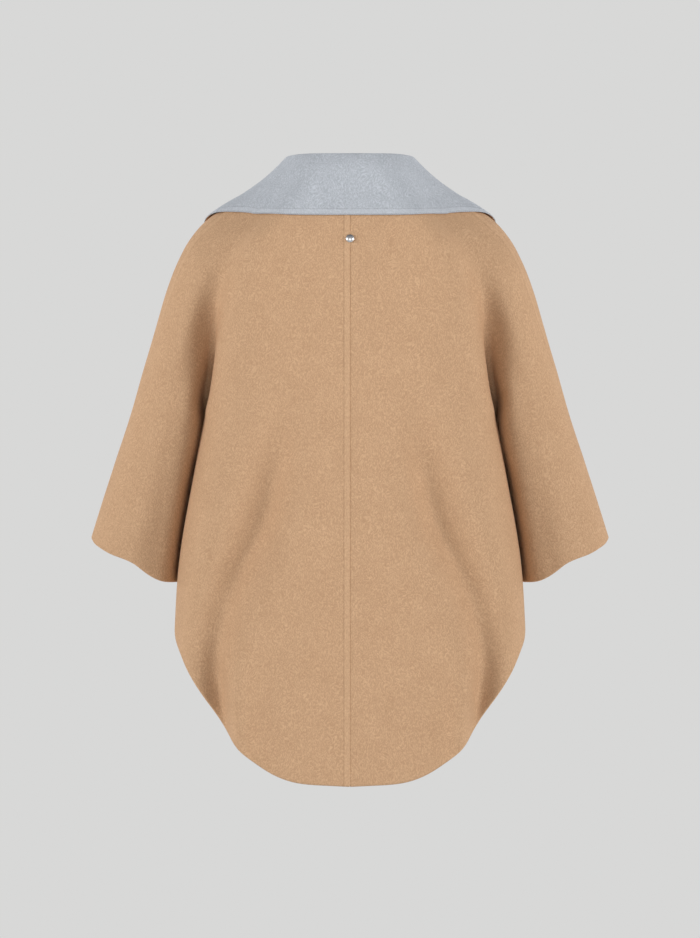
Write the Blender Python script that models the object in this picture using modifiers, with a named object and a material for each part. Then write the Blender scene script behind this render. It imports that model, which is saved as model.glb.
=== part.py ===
"""Cape coat of two-faced wool, worn and filled out: hollow, open at neck, hem and cuffs.

The coat faces -Y and its back faces +Y. The origin is the middle of the neck opening, at the
height of the neck seam at the centre back. Tables and sizes are in millimetres, and MM turns
them into Blender's metres. Each level of the coat is one curve through named lines of the
garment; panels are lofted over those curves and given the thickness of the cloth.
"""

import math
from collections import namedtuple

import bmesh
import bpy
import numpy as np
from mathutils import Vector
from mathutils.bvhtree import BVHTree

MM = 0.001

# Cloth and seams
WALL = 2.2
FACING_WALL = 2.0
SEAM_GAP = 0.4

# Heights of the main points, measured down from the neck seam at the centre back
NECK_SIDE_Z = 6.0
ARMPIT_Z = -300.0
BREAK_Z = -265.0
HEM_SIDE_Z = -563.0
HEM_FRONT_Z = -605.0
CUFF_OUTER_Z = -449.0
CUFF_INNER_Z = -502.0
CUFF_SLANT = 1.12
HEM_GUESS_Z = -500.0

# Front overlap
OVERLAP = 65.0

# Lines of the body at each level, left half, inner face of the cloth
BodyCut = namedtuple(
    "BodyCut",
    "level centre_back ridge_x ridge_y side_x side_back side_front "
    "front_ridge_x front_ridge_y centre_front",
)
BODY_CUTS = [
    BodyCut(6, 61, 49, 42, 56, 31, -37, 47, -42, -46),
    BodyCut(-19, 79, 79, 55, 90, 44, -49, 75, -56, -60),
    BodyCut(-46, 92, 105, 63, 120, 51, -62, 101, -69, -76),
    BodyCut(-72, 100, 131, 69, 146, 59, -74, 126, -82, -91),
    BodyCut(-100, 106, 145, 73, 158, 64, -84, 141, -93, -105),
    BodyCut(-140, 112, 156, 68, 166, 58, -91, 150, -103, -121),
    BodyCut(-174, 115, 161, 57, 167, 45, -85, 155, -104, -130),
    BodyCut(-205, 117, 165, 46, 168, 27, -73, 160, -98, -136),
    BodyCut(-240, 118, 169, 34, 170, 5, -58, 164, -88, -140),
    BodyCut(-272, 118, 174, 24, 175, -14, -50, 168, -80, -141),
    BodyCut(-300, 119, 180.5, 17, 179, -34, -34, 172, -70, -141),
    BodyCut(-374, 120, 194, 19, 191, -14, -14, 185, -53, -139),
    BodyCut(-475, 123, 211, 21, 209, -12, -12, 201, -55, -137),
    BodyCut(-567, 128, 217, 22, 215, -12, -12, 206, -59, -138),
    BodyCut(-756, 137, 218, 24, 216, -12, -12, 207, -59, -140),
]

# Lines of the sleeve at each level; seam_angle is where the overarm seam runs, from outermost
SleeveCut = namedtuple(
    "SleeveCut",
    "level inner_x inner_back inner_front middle_x back_y front_y outer_x outer_y seam_angle",
)
SLEEVE_CUTS = [
    SleeveCut(6, 59, 27, -35, 64, 14, -26, 69, -8, 45),
    SleeveCut(-19, 95, 40, -46, 107, 29, -39, 128, -8, 45),
    SleeveCut(-46, 125, 48, -59, 141, 38, -52, 173, -10, 50),
    SleeveCut(-72, 151, 57, -71, 166, 47, -64, 197, -11, 42),
    SleeveCut(-100, 163, 62, -81, 181, 56, -75, 212.5, -13, 38),
    SleeveCut(-140, 172, 57, -88, 193, 58, -86, 228, -16, 36),
    SleeveCut(-174, 175, 44, -83, 200, 56, -93, 238, -20, 32),
    SleeveCut(-205, 177, 26, -72, 207, 53, -99, 247, -23, 27),
    SleeveCut(-240, 180, 5, -58, 215, 49, -106, 257.5, -27, 21),
    SleeveCut(-272, 186, -14, -50, 221, 45, -110, 266.5, -31, 14),
    SleeveCut(-300, 186.5, -38, -38, 227, 42, -114, 274.5, -34, 5),
    SleeveCut(-320, 185.5, -54, -54, 230.5, 40, -116, 281, -36, 1),
    SleeveCut(-361, 195.5, -58, -58, 237, 37, -119, 295, -40, -10),
    SleeveCut(-449, 209, -68, -68, 252, 30, -125, 323, -46, -22),
    SleeveCut(-502, 214, -74, -74, 262, 26, -129, 339, -49, -25),
]

# The rounded back hem: degrees round from the centre back, and height
HEM_CURVE = [(0, -755), (16, -747.7), (32, -716), (50, -658), (70, -596), (90, -563)]
ROUNDNESS = 0.8


def hermite(knots, values, at):
    """A smooth curve through rows of values given at rising knots, read at one place."""
    knots = np.asarray(knots, float)
    values = np.asarray(values, float)
    slopes = np.gradient(values, knots, axis=0)
    i = int(np.clip(np.searchsorted(knots, at) - 1, 0, len(knots) - 2))
    span = knots[i + 1] - knots[i]
    t = (at - knots[i]) / span
    return (
        (1 + 2 * t) * (1 - t) ** 2 * values[i]
        + t * (1 - t) ** 2 * span * slopes[i]
        + t * t * (3 - 2 * t) * values[i + 1]
        + t * t * (t - 1) * span * slopes[i + 1]
    )


def at_level(cuts, level):
    """The table's row at any level, read from a smooth curve down each column."""
    table = np.array(cuts[::-1], float)
    return type(cuts[0])(*hermite(table[:, 0], table, level))


def oval(corner_x, corner_y, end_y, degrees):
    """A point of the rounded quarter from the centre line, at end_y, to its corner."""
    turn = math.radians(degrees)
    return (
        corner_x * math.sin(turn) ** ROUNDNESS,
        corner_y + (end_y - corner_y) * math.cos(turn) ** ROUNDNESS,
    )


def back_quarter(body):
    return [
        (0, body.centre_back),
        oval(body.ridge_x, body.ridge_y, body.centre_back, 30),
        oval(body.ridge_x, body.ridge_y, body.centre_back, 60),
        (body.ridge_x, body.ridge_y),
    ]


def front_quarter(body):
    return [
        (body.front_ridge_x, body.front_ridge_y),
        oval(body.front_ridge_x, body.front_ridge_y, body.centre_front, 60),
        oval(body.front_ridge_x, body.front_ridge_y, body.centre_front, 30),
        (0, body.centre_front),
    ]


def mirrored(points):
    return [(-x, y) for x, y in points[::-1]]


def sleeve_arc(sleeve):
    """Back, outside and front of the sleeve, a point every 45 degrees."""
    points = []
    for degrees in (90, 45, 0, -45, -90):
        turn = math.radians(degrees)
        reach = sleeve.back_y - sleeve.outer_y if degrees > 0 else sleeve.outer_y - sleeve.front_y
        points.append(
            (
                sleeve.middle_x + (sleeve.outer_x - sleeve.middle_x) * math.cos(turn),
                sleeve.outer_y + reach * math.sin(turn),
            )
        )
    return points


class Curve:
    """A smooth plane curve through points, read by place: 2.5 is half way from point 2 to 3."""

    def __init__(self, points, first, closed=False):
        points = np.array(points, float)
        if closed:
            points = np.vstack([points[-4:-1], points, points[1:4]])
            first += 3
        self.first = first
        self.points = points
        steps = np.linalg.norm(np.diff(points, axis=0), axis=1)
        self.knots = np.concatenate([[0], np.cumsum(steps)])
        self.bends = self.solve_bends()

    def solve_bends(self):
        n = len(self.points)
        h = np.diff(self.knots)
        left = np.zeros((n, n))
        right = np.zeros(self.points.shape)
        left[0, 0] = left[-1, -1] = 1
        for i in range(1, n - 1):
            left[i, i - 1 : i + 2] = h[i - 1], 2 * (h[i - 1] + h[i]), h[i]
            rise = (self.points[i + 1] - self.points[i]) / h[i]
            run = (self.points[i] - self.points[i - 1]) / h[i - 1]
            right[i] = 6 * (rise - run)
        return np.linalg.solve(left, right)

    def read(self, place):
        place = place + self.first
        i = int(np.clip(math.floor(place), 0, len(self.points) - 2))
        h = self.knots[i + 1] - self.knots[i]
        b = place - i
        a = 1 - b
        return (
            a * self.points[i]
            + b * self.points[i + 1]
            + ((a**3 - a) * self.bends[i] + (b**3 - b) * self.bends[i + 1]) * h * h / 6
        )


# Places of the garment's lines along a level curve that takes in body and sleeve
SIDE, INNER, OUTER, FRONT_INNER, FRONT_SIDE, CENTRE_FRONT = 4, 5, 8, 11, 12, 16
curves = {}


def level_curve(kind, level):
    key = (kind, round(level, 2))
    if key in curves:
        return curves[key]
    body = at_level(BODY_CUTS, level)
    sleeve = at_level(SLEEVE_CUTS, max(level, SLEEVE_CUTS[-1].level))
    back = back_quarter(body)
    front = front_quarter(body)
    arc = sleeve_arc(sleeve)
    before = mirrored(back)[:-1]
    after = mirrored(front)[1:]
    if kind == "sleeve":
        inner = (sleeve.inner_x, sleeve.inner_back)
        curve = Curve([inner, *arc, inner], 0, closed=True)
    elif kind == "body":
        side = (body.side_x, body.side_back)
        curve = Curve([*before, *back, side, *front, *after], len(before))
    else:
        under = [(body.side_x, body.side_back), (sleeve.inner_x, sleeve.inner_back)]
        over = [(sleeve.inner_x, sleeve.inner_front), (body.side_x, body.side_front)]
        points = [*before, *back, *under, *arc, *over, *front, *after]
        curve = Curve(points, len(before))
    curves[key] = curve
    return curve


def coat_point(place, level):
    """A point of the cloth's inner face on the left half; places as for the yoke curve."""
    if level > ARMPIT_Z + 0.5:
        x, y = level_curve("yoke", level).read(place)
    elif INNER <= place <= FRONT_INNER:
        x, y = level_curve("sleeve", level).read(place - INNER)
    else:
        skipped = FRONT_SIDE - SIDE if place > INNER else 0
        x, y = level_curve("body", level).read(place - skipped)
    return np.array([x, y, level])


def overarm_place(level):
    angle = at_level(SLEEVE_CUTS, max(level, SLEEVE_CUTS[-1].level)).seam_angle
    return OUTER - angle / 45


def read_table(table, at):
    """The last column of a two-column table, on a smooth curve down the first."""
    rising = np.array(sorted(table), float)
    return float(hermite(rising[:, 0], rising[:, 1:], at)[0])


# Body rows and columns: each panel is a sheet slit between its body and its sleeve
YOKE_ROWS = [0, 0.04, 0.09, 0.15, 0.22, 0.3, 0.39, 0.49, 0.6, 0.71, 0.82, 0.92, 1]
SKIRT_ROWS = 12
BODY_STEPS = 14
SLEEVE_STEPS = 7


def hem_level(place, level):
    """Height of the hem at a place round the body: deep round tail behind, shorter in front."""
    if place <= SIDE:
        widest = at_level(BODY_CUTS, level).ridge_x
        share = min(1.0, coat_point(place, level)[0] / widest)
        degrees = math.degrees(math.asin(share ** (1 / ROUNDNESS)))
        if place > SIDE - 1:
            degrees = 90
        return read_table(HEM_CURVE, degrees)
    share = min(1.0, (place - FRONT_SIDE) / (CENTRE_FRONT - FRONT_SIDE))
    return HEM_SIDE_Z + (HEM_FRONT_Z - HEM_SIDE_Z) * math.sin(share * math.pi / 2) ** 2


def cuff_level(place, level):
    """Height of the cuff: a slanting plane, lowest beside the body."""
    outer = at_level(SLEEVE_CUTS, level)
    share = (outer.outer_x - coat_point(place, level)[0]) / (outer.outer_x - outer.inner_x)
    return CUFF_OUTER_Z + (CUFF_INNER_Z - CUFF_OUTER_Z) * min(1.0, share * CUFF_SLANT)


def skirt_point(place, share):
    """A point below the armpit, part of the way to the hem or to the cuff."""
    end_of = cuff_level if INNER <= place <= FRONT_INNER else hem_level
    end = HEM_GUESS_Z
    for _ in range(4):
        end = end_of(place, end)
    return coat_point(place, ARMPIT_Z + share * (end - ARMPIT_Z))


def neck_level(place):
    """Height of the back neck seam, rising a little to the side of the neck."""
    return NECK_SIDE_Z * min(1.0, place / 7) ** 1.5


def back_points():
    """Rows of points from the neck down, columns from the centre back to the overarm seam."""
    body = list(np.linspace(0, SIDE, BODY_STEPS + 1))
    rows = []
    for share in YOKE_ROWS[:-1]:
        level_side = NECK_SIDE_Z + share * (ARMPIT_Z - NECK_SIDE_Z)
        end = overarm_place(level_side)
        row = []
        for place in body + list(np.linspace(INNER, end, SLEEVE_STEPS + 1)):
            top = neck_level(place)
            row.append(coat_point(place, top + share * (ARMPIT_Z - top)))
        rows.append(row)
    for share in np.linspace(0, 1, SKIRT_ROWS + 1):
        row = [skirt_point(place, share) for place in body]
        level = ARMPIT_Z + share * (CUFF_OUTER_Z - ARMPIT_Z)
        end = overarm_place(level)
        row += [skirt_point(place, share) for place in np.linspace(INNER, end, SLEEVE_STEPS + 1)]
        rows.append(row)
    return np.array(rows)


# The roll of the lapel, a straight line seen from the front, from the side of the neck
ROLL_TOP_X = 65.0
ROLL_TOP_Z = 4.0
NECK_SIDE_COLUMNS = 2


def place_at(x, level, start=OUTER):
    """The place round the front where a level curve comes to a given x."""
    low, high = start, CENTRE_FRONT + 2.5
    for _ in range(30):
        middle = (low + high) / 2
        if coat_point(middle, level)[0] > x:
            low = middle
        else:
            high = middle
    return low


def roll_place(share):
    """Place and height of a point of the roll line, 0 at the neck and 1 at the break."""
    level = ROLL_TOP_Z + share * (BREAK_Z - ROLL_TOP_Z)
    return place_at(ROLL_TOP_X + share * (-OVERLAP - ROLL_TOP_X), level), level


def front_top(column, columns):
    """Place and height of the front's upper edge: side of the neck, then the roll line."""
    if column >= NECK_SIDE_COLUMNS:
        return roll_place((column - NECK_SIDE_COLUMNS) / (columns - NECK_SIDE_COLUMNS))
    end, level = roll_place(0)
    share = column / NECK_SIDE_COLUMNS
    start = overarm_place(NECK_SIDE_Z)
    return start + (end - start) * share, NECK_SIDE_Z + (level - NECK_SIDE_Z) * share


FRONT_STEPS = BODY_STEPS + 2
# Down the front edge the rows lie lower, and the columns leave the neck over part of the yoke
EDGE_DROP = 100.0
NECK_SPREAD = 0.45


def front_points():
    """Rows from the neck and shoulder down, columns from the overarm seam to the front edge."""
    columns = SLEEVE_STEPS + 1 + FRONT_STEPS
    across = np.linspace(0, 1, FRONT_STEPS + 1)
    drops = ARMPIT_Z - EDGE_DROP * across**2
    edges = [place_at(-OVERLAP, drop) for drop in drops]
    low_body = [FRONT_SIDE + (edge - FRONT_SIDE) * b for edge, b in zip(edges, across)]
    tops = [front_top(i, columns) for i in range(columns + 1)]
    rows = []
    for share in YOKE_ROWS[:-1]:
        seam = overarm_place(NECK_SIDE_Z + share * (ARMPIT_Z - NECK_SIDE_Z))
        low_places = list(np.linspace(seam, FRONT_INNER, SLEEVE_STEPS + 1)) + low_body
        low_levels = [ARMPIT_Z] * (SLEEVE_STEPS + 1) + list(drops)
        blend = smooth_step(share, 0, NECK_SPREAD)
        row = []
        for i, (top_place, top) in enumerate(tops):
            place = seam if i == 0 else top_place + (low_places[i] - top_place) * blend
            row.append(coat_point(place, top + share * (low_levels[i] - top)))
        rows.append(row)
    for share in np.linspace(0, 1, SKIRT_ROWS + 1):
        seam = overarm_place(ARMPIT_Z + share * (CUFF_OUTER_Z - ARMPIT_Z))
        row = [skirt_point(u, share) for u in np.linspace(seam, FRONT_INNER, SLEEVE_STEPS + 1)]
        for drop, b in zip(drops, across):
            edge = place_at(-OVERLAP, drop + share * (HEM_FRONT_Z - drop))
            place = FRONT_SIDE + (edge - FRONT_SIDE) * b
            row.append(coat_point(place, drop + share * (hem_level(place, HEM_SIDE_Z) - drop)))
        rows.append(row)
    return np.array(rows)


def part_seams(points, slit):
    """The sheet's edges drawn back along the sheet, to leave half the gap of each seam."""
    armpit = len(YOKE_ROWS) - 1
    points = points.copy()

    def draw_back(edge, inner):
        away = points[inner] - points[edge]
        points[edge] += away / np.linalg.norm(away) * SEAM_GAP / 2

    for r in range(len(points)):
        draw_back((r, 0), (r, 1))
        draw_back((r, -1), (r, -2))
        if r > armpit:
            draw_back((r, slit), (r, slit - 1))
            draw_back((r, slit + 1), (r, slit + 2))
    for c in (slit, slit + 1):
        draw_back((armpit, c), (armpit - 1, c))
    return points


def smooth_step(value, start, end):
    t = min(1.0, max(0.0, (value - start) / (end - start)))
    return t * t * (3 - 2 * t)


# The right front laps over the left: it stands out by the lapel between them, less below it
LAP_AT_LAPEL = 6.6
LAP_BELOW = 3.2
LAP_EASES_Z = (-420, -300)
LAP_STARTS_X = (-140, -80)
LAP_STARTS_DOWN = (50, 120)


def lap(x, z):
    """How far the upper front stands off the surface, x measured to its own side."""
    depth = LAP_BELOW + (LAP_AT_LAPEL - LAP_BELOW) * smooth_step(z, *LAP_EASES_Z)
    return depth * smooth_step(-x, *LAP_STARTS_X) * smooth_step(-z, *LAP_STARTS_DOWN)


def lapped(points, side):
    """The points of a front, the right one moved out over the left."""
    if side > 0:
        return points
    moved = points.copy()
    for point in moved.reshape(-1, 3):
        point[1] -= lap(point[0], point[2])
    return moved


def sheet(name, points, side=1, skip=None, turned_over=False):
    """An open sheet of cloth over rows and columns of points, without the skipped faces."""
    rows, columns = points.shape[:2]
    mesh = bmesh.new()
    grid = [[mesh.verts.new((side * x * MM, y * MM, z * MM)) for x, y, z in row] for row in points]
    for r in range(rows - 1):
        for c in range(columns - 1):
            if skip and skip(r, c):
                continue
            corners = [grid[r][c], grid[r][c + 1], grid[r + 1][c + 1], grid[r + 1][c]]
            mesh.faces.new(corners if (side > 0) != turned_over else corners[::-1])
    data = bpy.data.meshes.new(name)
    mesh.to_mesh(data)
    mesh.free()
    return data


def below_armpit(slit):
    return lambda r, c: c == slit and r >= len(YOKE_ROWS) - 1


# The soft fold down each side of the back, seen from behind: height and distance from centre
BACK_FOLD = [(-290, 86), (-374, 103), (-424, 116), (-482, 145), (-549, 165), (-657, 161), (-756, 150)]
BACK_FOLD_DEPTH = 9.0
BACK_FOLD_WIDTH = 20.0
# The swell outside the fold, where the fold begins below the neck, and where it ends at the side
SWELL_SHARE = 0.35
SWELL_AT = 1.9
FOLD_STARTS_DOWN = (270, 350)
SIDE_X = 215
SIDE_FADE = 30
BACK_HALF_WIDTH = 210
BACK_HALF_DEPTH = 125


def folded_back(points, slit):
    """The body of a back panel with its long soft fold pressed in and the swell beside it."""
    points = points.copy()
    for row in points:
        for point in row[: slit + 1]:
            x, y, z = point
            away = (x - read_table(BACK_FOLD, max(z, -756))) / BACK_FOLD_WIDTH
            hollow = math.exp(-away * away) - SWELL_SHARE * math.exp(-((away - SWELL_AT) ** 2))
            fade = smooth_step(-z, *FOLD_STARTS_DOWN) * smooth_step(SIDE_X - x, 0, SIDE_FADE)
            outward = np.array([x / BACK_HALF_WIDTH**2, max(y, 0) / BACK_HALF_DEPTH**2, 0])
            point -= outward / (np.linalg.norm(outward) + 1e-9) * BACK_FOLD_DEPTH * hollow * fade
    return points


def outward_of(place, level):
    """The direction out of the cloth at a place on the surface, left half."""
    around = coat_point(place + 0.1, level) - coat_point(place - 0.1, level)
    down = coat_point(place, level - 2) - coat_point(place, level + 2)
    normal = np.cross(around, down)
    return normal / np.linalg.norm(normal)


def on_coat(place, level, lift):
    return coat_point(place, level) + outward_of(place, level) * lift


def front_face(x, z):
    """A point on the outer face of a front, and the direction out of it."""
    here = coat_point(place_at(x, z), z)
    beside = coat_point(place_at(x + 2, z), z)
    above = coat_point(place_at(x, z + 2), z + 2)
    normal = np.cross(above - here, beside - here)
    normal *= -np.sign(normal[1]) / np.linalg.norm(normal)
    return here, normal


# The collar: stand, roll and fall, in stations from the centre back to the gorge. The edge lies
# on the coat; the notch is where the collar's end leaves the lapel
CollarStation = namedtuple("CollarStation", "neck roll edge_place edge_level swell")
GORGE = 0.13
GORGE_EDGE = (130, -80)
NOTCH_AT = 0.55
NOTCH_OPENING = 0.1
COLLAR_LIFT = 0.9
COLLAR_STATIONS = [
    CollarStation(0, (0, 69, 32.8), 0, -42, 1.5),
    CollarStation(1.6, (34, 64.5, 32.8), 1.3, -41, 1),
    CollarStation(3.6, (60, 46, 32.8), 4.2, -39.5, -1),
    CollarStation(5.5, (73, 24, 32.5), 6.8, -38.5, -4.5),
    CollarStation(7, (78, 4, 30), 8, -45, -6),
    CollarStation(None, (67, -37, 6), 9.6, -62, -5),
    CollarStation(None, None, None, None, 0),
]
# The stand bows in a little, and the roll turns over between two points beside its top line
RollPoint = namedtuple("RollPoint", "out down")
STAND_MIDDLE = 0.6
STAND_BOW = 0.5
ROLL_INSIDE = RollPoint(1.6, 2.5)
ROLL_OUTSIDE = RollPoint(3.2, 2.2)
FALL_SHARE = 0.4
# The collar's neck edge just above the gorge, and its points along the gorge to the outer edge
NECK_ABOVE_GORGE = 0.45
GORGE_SHARES = (0, 0.01, 0.02, 0.035, 0.06, FALL_SHARE, 1)
COLLAR_STEPS = 22
COLLAR_END_COLUMNS = 8
STAND_TO_EDGE = [0, 0.5, 1, 1.6, 2, 2.5, 3, 3.5, 4, 4.5, 5, 5.5, 6]


def station_profile(station):
    """Neck seam, stand, three points over the roll, the fall, and the outer edge."""
    if station.edge_place is None:
        return gorge_profile()
    edge = on_coat(station.edge_place, station.edge_level, WALL + COLLAR_LIFT)
    if station.neck is None:
        place, level = roll_place(GORGE * NECK_ABOVE_GORGE)
        neck = on_coat(place, level, WALL + COLLAR_LIFT)
    else:
        neck = on_coat(station.neck, neck_level(station.neck), WALL)
        neck[2] += SEAM_GAP
    roll = np.array(station.roll, float)
    across = edge - roll
    across[2] = 0
    across /= np.linalg.norm(across)
    stand = neck + (roll - neck) * STAND_MIDDLE - across * STAND_BOW
    inside = roll - across * ROLL_INSIDE.out - np.array([0, 0, ROLL_INSIDE.down])
    outside = roll + across * ROLL_OUTSIDE.out - np.array([0, 0, ROLL_OUTSIDE.down])
    fall = outside + (edge - outside) * FALL_SHARE
    fall[2] += station.swell
    return [neck, stand, inside, roll, outside, fall, edge]


def gorge_profile():
    """The collar's end, flat on the front from the roll line to the outer edge."""
    place, level = roll_place(GORGE)
    start = coat_point(place, level)
    points = []
    for share in GORGE_SHARES:
        x = start[0] + share * (GORGE_EDGE[0] - start[0])
        z = level + share * (GORGE_EDGE[1] - level)
        here, normal = front_face(x, z)
        points.append(here + normal * (WALL + COLLAR_LIFT))
    return points


def surface_tree(panels, sides=(1,)):
    """The inner faces of some panels, to measure distances from; each with its skipped faces."""
    points, faces = [], []
    for panel, skip in panels:
        columns = panel.shape[1]
        for side in sides:
            start = len(points)
            points += [(side * x, y, z) for x, y, z in panel.reshape(-1, 3)]
            for r in range(len(panel) - 1):
                for c in range(columns - 1):
                    if not skip(r, c):
                        a = start + r * columns + c
                        face = [a, a + 1, a + columns + 1, a + columns]
                        faces.append(face if side > 0 else face[::-1])
    return BVHTree.FromPolygons(points, faces)


def push_clear(points, tree, lift):
    """Points moved out until they, and the middles between them, clear the cloth beneath."""

    def push_out(spot, moved):
        nearest, normal, _, _ = tree.find_nearest(Vector(spot))
        short = WALL + lift - (Vector(spot) - nearest).dot(normal)
        if short > 0:
            for point in moved:
                point += np.array(normal) * short

    rows, columns = points.shape[:2]
    for _ in range(4):
        for r in range(rows):
            for c in range(columns):
                here = points[r, c]
                push_out(here, [here])
                for beside in ((r, c + 1), (r + 1, c), (r + 1, c + 1)):
                    if beside[0] < rows and beside[1] < columns:
                        other = points[beside]
                        push_out((here + other) / 2, [here, other])


def collar_points(panels):
    """Rows from the neck seam over the roll to the edge, columns from gorge to gorge."""
    lines = np.array([station_profile(station) for station in COLLAR_STATIONS])
    last = len(COLLAR_STATIONS) - 1
    mirror = lines[1:][::-1] * np.array([-1, 1, 1])
    curves_round = [Curve(np.vstack([mirror[:, k], lines[:, k]]), last) for k in range(7)]
    rows = []
    for t in STAND_TO_EDGE:
        fall = FALL_SHARE * (t - 4) if t < 5 else FALL_SHARE + (1 - FALL_SHARE) * (t - 5)
        beyond = max(0.0, (fall - NOTCH_AT) / (1 - NOTCH_AT))
        end = last * (1 - NOTCH_OPENING * beyond)
        row = []
        for s in np.linspace(-end, end, 2 * COLLAR_STEPS + 1):
            profile = Curve([curve.read(s) for curve in curves_round], 0)
            row.append(profile.read(t))
        rows.append(row)
    rows = np.array(rows)
    tree = surface_tree(panels, sides=(1, -1))
    fall, ends = STAND_TO_EDGE.index(2.5), COLLAR_END_COLUMNS
    for part_of_it in (rows[fall:], rows[:fall, :ends], rows[:fall, -ends:]):
        push_clear(part_of_it, tree, COLLAR_LIFT)
    return rows


# The lapel's outer edge, seen from the front: share down the roll line, then its place
LapelEdge = namedtuple("LapelEdge", "share x z")
LAPEL_EDGE = [
    LapelEdge(GORGE, *GORGE_EDGE),
    LapelEdge(0.35, 118, -122),
    LapelEdge(0.6, 70, -178),
    LapelEdge(0.82, 7, -226),
    LapelEdge(1.0, -58, -268),
]
LAPEL_ROWS = 14
LAPEL_COLUMNS = 8
LAPEL_LIFT = 0.5
PUSHED_LIFT = 1.0
# Shares of the roll line left at the gorge seam and above the break, and the edge's inset
GORGE_SEAM = 0.006
LAPEL_END = 0.985
ROLL_INSET = 1.0


def lapel_points():
    """Rows down the roll line, columns from the roll to the outer edge, laid on the front."""
    edge_table = np.array(LAPEL_EDGE)
    rows = []
    for down in np.linspace(0, 1, LAPEL_ROWS + 1):
        row = []
        for t in np.linspace(0, 1, LAPEL_COLUMNS + 1):
            beyond = max(0.0, (t - NOTCH_AT) / (1 - NOTCH_AT))
            start = GORGE + GORGE_SEAM + NOTCH_OPENING * beyond
            share = start + down * (LAPEL_END - start)
            place, level = roll_place(share)
            roll_x = coat_point(place, level)[0] + ROLL_INSET
            edge_x, edge_z = hermite(edge_table[:, 0], edge_table[:, 1:], share)
            here, normal = front_face(roll_x + t * (edge_x - roll_x), level + t * (edge_z - level))
            row.append(here + normal * (WALL + LAPEL_LIFT))
        rows.append(row)
    return np.array(rows)


collection = bpy.data.collections.new("cape_coat")


def finish(name, data, material):
    """An object of the coat, in its collection, with its material and smooth faces."""
    piece = bpy.data.objects.new(name, data)
    collection.objects.link(piece)
    data.materials.append(material)
    data.shade_smooth()
    data.set_sharp_from_angle(angle=math.radians(50))
    return piece


def cloth(name, data, material, wall=WALL):
    """A sheet given the thickness of the cloth, out from its inner face."""
    piece = finish(name, data, material)
    solid = piece.modifiers.new("cloth thickness", "SOLIDIFY")
    solid.thickness = wall * MM
    solid.offset = 1
    solid.use_even_offset = False
    return piece


def material(name, colour, roughness, metallic=0.0):
    made = bpy.data.materials.new(name)
    made.use_nodes = True
    shader = made.node_tree.nodes["Principled BSDF"]
    shader.inputs["Base Color"].default_value = (*colour, 1)
    shader.inputs["Roughness"].default_value = roughness
    shader.inputs["Metallic"].default_value = metallic
    return made


def turned(name, profile, centre, normal, finish_material, steps=20):
    """A round piece turned from a profile of radius and height, set on a face of the coat."""
    data = bpy.data.meshes.new(name)
    points = [(radius * MM, 0, height * MM) for radius, height in profile]
    data.from_pydata(points, [(i, i + 1) for i in range(len(points) - 1)], [])
    piece = finish(name, data, finish_material)
    screw = piece.modifiers.new("turned round", "SCREW")
    screw.steps = steps
    screw.render_steps = steps
    screw.use_merge_vertices = True
    screw.merge_threshold = 0.01 * MM
    piece.location = tuple(c * MM for c in centre)
    piece.rotation_mode = "QUATERNION"
    piece.rotation_quaternion = Vector(normal).to_track_quat("Z", "Y")
    return piece


BUTTON_PROFILE = [(0, 2.8), (8.6, 3), (9.6, 4.2), (11.8, 4.2), (12.8, 3), (12.8, 1), (12, 0), (0, 0)]
BUTTON_X = 42.0
BUTTON_LEVELS = [-305, -425]
STUD_PROFILE = [(0, 2.6), (3, 2.3), (4.9, 1.5), (5.6, 0.6), (5.4, 0), (0, 0)]
STUD_LEVEL = -74.0
SEAT_GAP = 0.3


def button_seat(x, z):
    """Where a button sits on the right front, which laps over the left."""
    own_x = -x
    here, normal = front_face(own_x, z)
    here = here + normal * WALL
    here[1] -= lap(own_x, z)
    return np.array([-here[0], here[1], here[2]]), np.array([-normal[0], normal[1], normal[2]])


def build():
    for old in list(bpy.data.objects):
        bpy.data.objects.remove(old)
    bpy.context.scene.collection.children.link(collection)
    camel = material("camel_wool", (0.58, 0.36, 0.20), 0.95)
    blue_grey = material("blue_grey_wool", (0.50, 0.54, 0.60), 0.95)
    horn = material("dark_horn", (0.07, 0.04, 0.025), 0.35)
    silver = material("polished_silver", (0.78, 0.78, 0.80), 0.25, 1.0)
    backs = part_seams(folded_back(back_points(), BODY_STEPS), BODY_STEPS)
    fronts = part_seams(front_points(), SLEEVE_STEPS)
    lapels = lapel_points()
    panels = [(backs, below_armpit(BODY_STEPS)), (fronts, below_armpit(SLEEVE_STEPS))]
    for side, hand in ((1, "left"), (-1, "right")):
        data = sheet(f"back_{hand}", backs, side, below_armpit(BODY_STEPS))
        cloth(f"back_{hand}", data, camel)
        front = lapped(fronts, side)
        data = sheet(f"front_{hand}", front, side, below_armpit(SLEEVE_STEPS))
        cloth(f"front_{hand}", data, camel)
        lapel = lapped(lapels, side)
        push_clear(lapel, surface_tree([(front, below_armpit(SLEEVE_STEPS))]), PUSHED_LIFT)
        data = sheet(f"lapel_{hand}", lapel, side, turned_over=True)
        cloth(f"lapel_{hand}", data, blue_grey, FACING_WALL)
    cloth("collar", sheet("collar", collar_points(panels)), blue_grey, FACING_WALL)
    number = 1
    for level in BUTTON_LEVELS:
        for x in (-BUTTON_X, BUTTON_X):
            seat, normal = button_seat(x, level)
            turned(f"button_{number}", BUTTON_PROFILE, seat + normal * SEAT_GAP, normal, horn)
            number += 1
    seat = on_coat(0, STUD_LEVEL, WALL + SEAT_GAP)
    turned("back_stud", STUD_PROFILE, seat, outward_of(0, STUD_LEVEL), silver)


build()
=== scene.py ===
"""A cape coat of two-faced wool, worn and filled out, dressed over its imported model."""

import math
from collections import namedtuple

import bpy
import numpy as np
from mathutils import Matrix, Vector
from mathutils.bvhtree import BVHTree


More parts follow.
